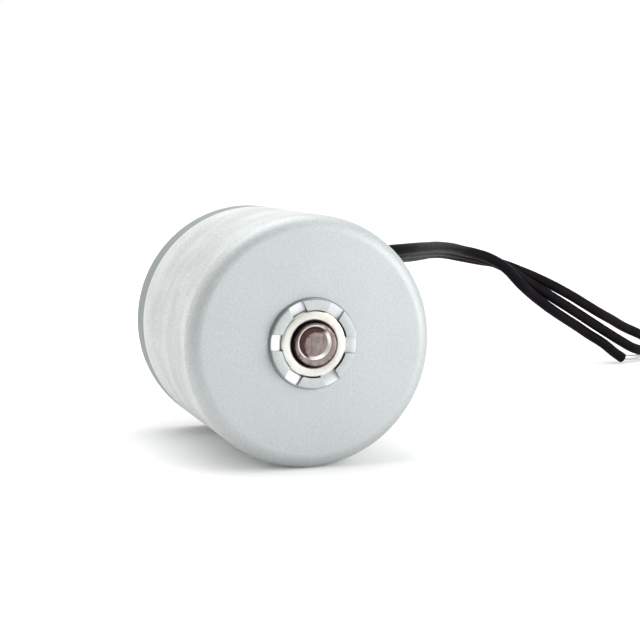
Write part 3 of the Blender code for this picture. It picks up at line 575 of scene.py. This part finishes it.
# Leads: three black hook-up wires, one to each phase, soldered to the board inside the cover.
# They leave the grommet side by side, bend to the right behind the motor and fall to the table in a fan.
LEAD_EXIT_GAP = 0.0003
LEAD_ROUTES = {
    "lead_1": [
        (0.0047, 0.0256, 0.0264),
        (0.0079, 0.0301, 0.0263),
        (0.0130, 0.0323, 0.0261),
        (0.0183, 0.0328, 0.0260),
        (0.0231, 0.0331, 0.0259),
        (0.0274, 0.0341, 0.0258),
        (0.0313, 0.0366, 0.0254),
        (0.0349, 0.0405, 0.0251),
        (0.0383, 0.0452, 0.0248),
        (0.0422, 0.0505, 0.0245),
        (0.0462, 0.0559, 0.0243),
        (0.0502, 0.0605, 0.0242),
        (0.0542, 0.0636, 0.0238),
        (0.0583, 0.0652, 0.0230),
        (0.0624, 0.0657, 0.0222),
        (0.0668, 0.0658, 0.0214),
        (0.0720, 0.0647, 0.0195),
        (0.0768, 0.0634, 0.0173),
        (0.0813, 0.0625, 0.0149),
        (0.0853, 0.0619, 0.0125),
        (0.0885, 0.0621, 0.0107),
        (0.0914, 0.0629, 0.0093),
        (0.0950, 0.0642, 0.0075),
        (0.0994, 0.0656, 0.0057),
        (0.1056, 0.0710, 0.0034),
        (0.1108, 0.0750, 0.0015),
        (0.1156, 0.0789, 0.0011),
    ],
    "lead_2": [
        (0.0070, 0.0247, 0.0265),
        (0.0094, 0.0282, 0.0265),
        (0.0136, 0.0300, 0.0264),
        (0.0185, 0.0304, 0.0264),
        (0.0235, 0.0308, 0.0264),
        (0.0283, 0.0320, 0.0265),
        (0.0328, 0.0349, 0.0262),
        (0.0366, 0.0392, 0.0260),
        (0.0402, 0.0439, 0.0257),
        (0.0440, 0.0492, 0.0254),
        (0.0480, 0.0544, 0.0251),
        (0.0519, 0.0588, 0.0247),
        (0.0555, 0.0616, 0.0241),
        (0.0589, 0.0630, 0.0234),
        (0.0626, 0.0634, 0.0225),
        (0.0665, 0.0634, 0.0211),
        (0.0710, 0.0629, 0.0183),
        (0.0756, 0.0623, 0.0155),
        (0.0801, 0.0620, 0.0128),
        (0.0840, 0.0619, 0.0104),
        (0.0871, 0.0620, 0.0085),
        (0.0905, 0.0624, 0.0065),
        (0.0939, 0.0630, 0.0046),
        (0.0976, 0.0640, 0.0028),
        (0.1034, 0.0674, 0.0015),
        (0.1088, 0.0709, 0.0011),
    ],
    "lead_3": [
        (0.0092, 0.0238, 0.0266),
        (0.0109, 0.0263, 0.0267),
        (0.0142, 0.0277, 0.0268),
        (0.0187, 0.0280, 0.0268),
        (0.0239, 0.0285, 0.0269),
        (0.0292, 0.0299, 0.0271),
        (0.0343, 0.0332, 0.0271),
        (0.0384, 0.0378, 0.0269),
        (0.0420, 0.0426, 0.0266),
        (0.0458, 0.0479, 0.0263),
        (0.0498, 0.0530, 0.0258),
        (0.0536, 0.0572, 0.0252),
        (0.0567, 0.0596, 0.0245),
        (0.0595, 0.0607, 0.0239),
        (0.0629, 0.0610, 0.0228),
        (0.0662, 0.0611, 0.0209),
        (0.0701, 0.0610, 0.0171),
        (0.0744, 0.0612, 0.0137),
        (0.0788, 0.0616, 0.0108),
        (0.0828, 0.0619, 0.0084),
        (0.0858, 0.0621, 0.0065),
        (0.0895, 0.0618, 0.0042),
        (0.0917, 0.0618, 0.0025),
        (0.0939, 0.0621, 0.0011),
    ],
}

sleeve, sleeve_shader, sleeve_place = new_finish("black_sleeve", (0.008, 0.008, 0.009), 0.3, 0.0)
sleeve_grain = sleeve_place.noise(900.0, 3.0)
sleeve_bloom = sleeve_place.noise(120.0, 2.0).step(0.4, 0.75)
sleeve_bloom.mix((0.004, 0.004, 0.006, 1.0), (0.014, 0.007, 0.008, 1.0)).to(sleeve_shader, "Base Color")
(0.38 + sleeve_grain * 0.16).to(sleeve_shader, "Roughness")
sleeve_shader.inputs["Specular IOR Level"].default_value = 0.05
bump(sleeve_shader, sleeve_grain, 0.2, 0.00004)

for number, offset in ((1, -LEAD_PITCH), (2, 0.0), (3, LEAD_PITCH)):
    node = f"lead_{number}"
    lead_exit = (grommet_x + offset, grommet_high.y + LEAD_EXIT_GAP, grommet_z)
    route = bpy.data.curves.new(f"black_lead_{number}", "CURVE")
    route.dimensions = "3D"
    route.bevel_depth = LEAD_RADIUS
    route.bevel_resolution = 6
    route.resolution_u = 6
    route.use_fill_caps = True
    line = route.splines.new("BEZIER")
    places = [lead_exit] + LEAD_ROUTES[node]
    line.bezier_points.add(len(places) - 1)
    for point, place in zip(line.bezier_points, places):
        point.co = place
        point.handle_left_type = "AUTO"
        point.handle_right_type = "AUTO"
    lead = bpy.data.objects.new(f"black_lead_{number}", route)
    bpy.context.scene.collection.objects.link(lead)
    dress(lead, sleeve, "housing", "lead_sleeve", node)

# Bare tips: the last 4 mm of each lead, with the sleeve stripped off.
# The copper strands are twisted together and dipped in solder, which leaves a dull coat of tin.


def finish_nodes(finish, edge, *names):
    """Give solids that keep their own shape their finish, with their sharp edges broken."""
    for name in names:
        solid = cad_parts[name]
        solid.data.materials.clear()
        solid.data.materials.append(finish)
        solid.data.shade_smooth()
        weld = solid.modifiers.new("Weld", "WELD")
        weld.merge_threshold = SAME_PLACE
        bevel = solid.modifiers.new("Edges", "BEVEL")
        bevel.width = edge
        bevel.segments = 2
        bevel.limit_method = "ANGLE"
        bevel.angle_limit = math.radians(30)
        bevel.harden_normals = True


tin, tin_shader, tin_place = new_finish("dull_tin", (0.66, 0.66, 0.65), 0.35, 1.0)
tin_flow = tin_place.noise(900.0, 3.0)
tin_flow.mix((0.50, 0.50, 0.49, 1.0), (0.78, 0.78, 0.76, 1.0)).to(tin_shader, "Base Color")
(0.25 + tin_flow * 0.25).to(tin_shader, "Roughness")
bump(tin_shader, tin_flow, 0.4, 0.00005)
finish_nodes(tin, 0.0001, "lead_1_tip", "lead_2_tip", "lead_3_tip")

# Terminal board: a ring of glass-fibre board on the cover's standoffs that joins the leads to the windings.
# Each lead ends in its own dome of tin solder.
finish_nodes(tin, 0.0001, "solder_joint_1", "solder_joint_2", "solder_joint_3")
board, board_shader, board_place = new_finish("glass_board", (0.03, 0.16, 0.07), 0.4, 0.0)
board_warp = board_place.noise(1.0, 1.0, (2500.0, 300.0, 300.0))
board_weft = board_place.noise(1.0, 1.0, (300.0, 300.0, 2500.0))
board_weave = board_warp + board_weft
board_colour = board_weave.step(0.7, 1.3).mix((0.015, 0.10, 0.04, 1.0), (0.035, 0.20, 0.085, 1.0))
board_colour.to(board_shader, "Base Color")
(0.3 + board_weave * 0.1).to(board_shader, "Roughness")
finish_nodes(board, 0.00005, "terminal_board")

# Stator: thin silicon-steel laminations, stamped with six teeth, stacked and pressed into the can.
# A moulded nylon insulator covers each end of the stack, under the windings.
lamination, lamination_shader, lamination_place = new_finish("silicon_steel", (0.30, 0.31, 0.33), 0.45, 1.0)
SHEET_THICKNESS = 0.0005
sheet_depth = lamination_place.axis("Y")
sheet_turns = sheet_depth * (math.tau / SHEET_THICKNESS)
sheet_edges = sheet_turns.wave().step(-1.0, -0.6)
lamination_stain = lamination_place.noise(300.0, 3.0)
sheet_colour = lamination_stain.mix((0.26, 0.27, 0.29, 1.0), (0.42, 0.42, 0.43, 1.0))
sheet_edges.mix((0.10, 0.09, 0.09, 1.0), sheet_colour).to(lamination_shader, "Base Color")
(0.38 + lamination_stain * 0.2).to(lamination_shader, "Roughness")
bump(lamination_shader, sheet_edges, 0.5, 0.00004)
finish_nodes(lamination, 0.00008, "stator_core", "rotor_core")

nylon, nylon_shader, nylon_place = new_finish("cream_nylon", (0.78, 0.75, 0.66), 0.5, 0.0)
nylon_clouds = nylon_place.noise(220.0, 2.0)
nylon_clouds.mix((0.74, 0.70, 0.60, 1.0), (0.84, 0.81, 0.73, 1.0)).to(nylon_shader, "Base Color")
(0.42 + nylon_clouds * 0.16).to(nylon_shader, "Roughness")
finish_nodes(nylon, 0.0001, "front_insulator", "rear_insulator", "front_washer", "rear_washer")

# Windings: enamelled copper wire, wound in layers on each of the six teeth over the insulators.
# One winding is laid turn by turn, from the outside layer inwards, and copied to the other teeth.
coil_low, coil_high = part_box("coil_1")
COIL_DEPTH = 0.0019
WIRE_RADIUS = 0.00019
WIRE_LAYERS = 5
CORNER_STEPS = 4
wire_pitch = 2 * WIRE_RADIUS
coil_middle = (coil_low + coil_high) / 2
coil_half_width = (coil_high.x - coil_low.x) / 2
coil_half_length = (coil_high.y - coil_low.y) / 2
coil_turns = int((coil_high.z - coil_low.z) / wire_pitch) - 1

wire_places = []
for layer in range(WIRE_LAYERS):
    inset = WIRE_RADIUS + layer * wire_pitch
    corner = max(COIL_DEPTH - inset, WIRE_RADIUS)
    loop = []
    for side_x, side_y, start in ((1, 1, 0), (-1, 1, 90), (-1, -1, 180), (1, -1, 270)):
        for step in range(CORNER_STEPS + 1):
            bend = math.radians(start + 90 * step / CORNER_STEPS)
            x = side_x * (coil_half_width - inset - corner) + corner * math.cos(bend)
            y = side_y * (coil_half_length - inset - corner) + corner * math.sin(bend)
            loop.append((x, y))
    steps = coil_turns * len(loop)
    for step in range(steps + 1):
        share = step / steps if layer % 2 == 0 else 1 - step / steps
        x, y = loop[step % len(loop)]
        z = coil_low.z + WIRE_RADIUS + share * (coil_high.z - coil_low.z - wire_pitch)
        wire_places.append((x + coil_middle.x, y + coil_middle.y, z))

wire = bpy.data.curves.new("winding", "CURVE")
wire.dimensions = "3D"
wire.bevel_depth = WIRE_RADIUS
wire.bevel_resolution = 1
wire.use_fill_caps = True
wire_line = wire.splines.new("POLY")
wire_line.points.add(len(wire_places) - 1)
for point, place in zip(wire_line.points, wire_places):
    point.co = (*place, 1.0)
winding = bpy.data.objects.new("winding_1", wire)
bpy.context.scene.collection.objects.link(winding)
bpy.ops.object.select_all(action="DESELECT")
winding.select_set(True)
bpy.context.view_layer.objects.active = winding
bpy.ops.object.convert(target="MESH")
winding = bpy.context.object
winding.data.name = "winding_1"
bpy.ops.object.shade_smooth()

copper, copper_shader, copper_place = new_finish("enamelled_copper", (0.62, 0.25, 0.10), 0.3, 1.0)
copper_clouds = copper_place.noise(380.0, 3.0)
copper_clouds.mix((0.50, 0.18, 0.07, 1.0), (0.74, 0.33, 0.14, 1.0)).to(copper_shader, "Base Color")
(0.22 + copper_clouds * 0.16).to(copper_shader, "Roughness")

for number in range(1, 7):
    low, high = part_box(f"coil_{number}")
    tooth_angle = math.atan2((low.x + high.x) / 2, (low.z + high.z) / 2 - axis_z)
    bpy.ops.object.select_all(action="DESELECT")
    winding.select_set(True)
    bpy.context.view_layer.objects.active = winding
    if number > 1:
        bpy.ops.object.duplicate()
    coil = bpy.context.object
    coil.name = f"winding_{number}"
    coil.data.name = f"winding_{number}"
    about_axis = Matrix.Translation((0.0, 0.0, axis_z)) @ Matrix.Rotation(tooth_angle, 4, "Y")
    coil.matrix_world = about_axis @ Matrix.Translation((0.0, 0.0, -axis_z))
    bpy.ops.object.transform_apply(location=True, rotation=True, scale=True)
    dress(coil, copper, "housing", "copper_winding", f"coil_{number}")

# Rear bush: a plain sintered bearing like the front one, but without a flange.
# It is pressed into the cover's blind pocket, where it carries the rear end of the shaft.
finish_nodes(bronze, 0.00015, "rear_bush")

# Eccentric weight: a half disc sawn from brass bar, held on the shaft by its set screw.
# Its mass lies to one side of the axis, so it shakes the motor as it turns.
brass, brass_shader, brass_place = new_finish("turned_brass", (0.72, 0.53, 0.24), 0.3, 1.0)
brass_turns = off_axis(brass_place) * 30000.0 + brass_place.noise(240.0, 2.0) * 3.0
brass_rings = brass_turns.wave()
brass_clouds = brass_place.noise(260.0, 3.0)
brass_clouds.mix((0.62, 0.43, 0.17, 1.0), (0.80, 0.61, 0.31, 1.0)).to(brass_shader, "Base Color")
(0.28 + brass_rings * 0.05 + brass_clouds * 0.1).to(brass_shader, "Roughness")
bump(brass_shader, brass_rings, 0.15, 0.00002)
finish_nodes(brass, 0.0002, "eccentric_weight")

# Small steel: the weight's set screw, the sleeve between the weight and the rotor, the band that holds the
# magnets, and the wave washer that takes up the shaft's end play. All bright spring or free-cutting steel.
bright, bright_shader, bright_place = new_finish("bright_steel", (0.56, 0.57, 0.58), 0.25, 1.0)
bright_scuff = bright_place.noise(1.0, 3.0, (300.0, 2200.0, 300.0))
bright_scuff.mix((0.44, 0.45, 0.46, 1.0), (0.66, 0.67, 0.68, 1.0)).to(bright_shader, "Base Color")
(0.18 + bright_scuff * 0.2).to(bright_shader, "Roughness")
finish_nodes(bright, 0.00006, "weight_screw", "spacer_sleeve", "magnet_band", "wave_washer")

# Rotor magnets: four arcs of sintered ferrite, glued to the rotor core.
# The steel band round them keeps them on the core at speed.
ferrite, ferrite_shader, ferrite_place = new_finish("sintered_ferrite", (0.06, 0.06, 0.065), 0.6, 0.0)
ferrite_grain = ferrite_place.noise(2800.0, 3.0)
ferrite_grain.mix((0.035, 0.035, 0.038, 1.0), (0.09, 0.09, 0.095, 1.0)).to(ferrite_shader, "Base Color")
(0.5 + ferrite_grain * 0.25).to(ferrite_shader, "Roughness")
bump(ferrite_shader, ferrite_grain, 0.4, 0.00004)
finish_nodes(ferrite, 0.00015, "magnet_1", "magnet_2", "magnet_3", "magnet_4")

# Camera: where the photographer stood, in front of the motor, to its left and a little above it.
# A fairly long lens keeps the rear of the can only a little smaller than its face.
camera_data = bpy.data.cameras.new("camera")
camera_data.lens = 86.55
camera_data.sensor_width = 36.0
camera_data.clip_start = 0.01
camera = bpy.data.objects.new("camera", camera_data)
camera.location = (-0.06455, -0.22313, 0.04592)
camera.rotation_euler = Vector((0.30435, 0.94568, -0.11429)).to_track_quat("-Z", "Y").to_euler()
bpy.context.scene.collection.objects.link(camera)
bpy.context.scene.camera = camera

# Table: a white sweep under the motor, so pale that only the shadows show on it. A glow that only the camera
# sees is painted on it, weak near the motor and stronger away from it, so the floor round the motor is
# painted darker.
bpy.ops.object.select_all(action="DESELECT")
bpy.ops.mesh.primitive_plane_add(size=3.0, location=(0.0, 0.0, 0.0))
table = bpy.context.object
table.name = "white_table"
table_finish, table_shader, table_place = new_finish("white_sweep", (0.90, 0.90, 0.90), 0.9, 0.0)
table_shader.inputs["Specular IOR Level"].default_value = 0.0
TABLE_GLOW = 0.3
CONTACT_GLOW = 0.07
table_reach = table_place.length()
camera_ray = Tint(table_finish.node_tree.nodes.new("ShaderNodeLightPath").outputs["Is Camera Ray"])
table_glow = camera_ray * (CONTACT_GLOW + table_reach.step(0.01, 0.28) * TABLE_GLOW)
glow = table_glow.node("ShaderNodeEmission", {}, {"Color": (1.0, 1.0, 1.0, 1.0), "Strength": table_glow})
both = glow.node("ShaderNodeAddShader", {}, {0: Tint(table_shader.outputs["BSDF"]), 1: glow})
both.to(table_finish.node_tree.nodes["Material Output"], "Surface")
table.data.materials.append(table_finish)

# Light: a white tent, brightest behind the motor, with a soft lamp at the front right for the face,
# a larger one above, and a weak one on the left for the can's side.
scene = bpy.context.scene
scene.view_settings.view_transform = "Standard"
TENT_BRIGHT_SIDE = (0.45, 0.75, 0.5)
TENT_DARK = 0.42
TENT_LIGHT = 0.95
world = bpy.data.worlds.new("white_tent")
scene.world = world
world.use_nodes = True
tent = world.node_tree.nodes["Background"]
tent.inputs["Color"].default_value = (1.0, 1.0, 1.0, 1.0)
tent_way = Tint(world.node_tree.nodes.new("ShaderNodeTexCoord").outputs["Generated"])
tent_side = tent_way.node(
    "ShaderNodeVectorMath",
    {"operation": "DOT_PRODUCT"},
    {0: tent_way, 1: TENT_BRIGHT_SIDE},
    output="Value",
)
tent_light = TENT_DARK + (TENT_LIGHT - TENT_DARK) * tent_side.step(-1.0, 0.8)
seen_ray = Tint(world.node_tree.nodes.new("ShaderNodeLightPath").outputs["Is Camera Ray"])
(seen_ray + (1.0 - seen_ray) * tent_light).to(tent, "Strength")


def lamp(name, place, aim, size, watts):
    """Square soft lamp at a place, turned to a point."""
    light = bpy.data.lights.new(name, "AREA")
    light.size = size
    light.energy = watts
    holder = bpy.data.objects.new(name, light)
    holder.location = place
    holder.rotation_euler = (Vector(aim) - Vector(place)).to_track_quat("-Z", "Y").to_euler()
    bpy.context.scene.collection.objects.link(holder)


lamp("right_softbox", (0.20, -0.20, 0.08), (0.0, 0.0, 0.018), 0.2, 0.45)
lamp("top_softbox", (-0.05, 0.05, 0.45), (0.0, 0.0, 0.018), 0.4, 1.1)
lamp("left_softbox", (-0.35, 0.12, 0.16), (0.0, 0.0, 0.0), 0.3, 0.14)
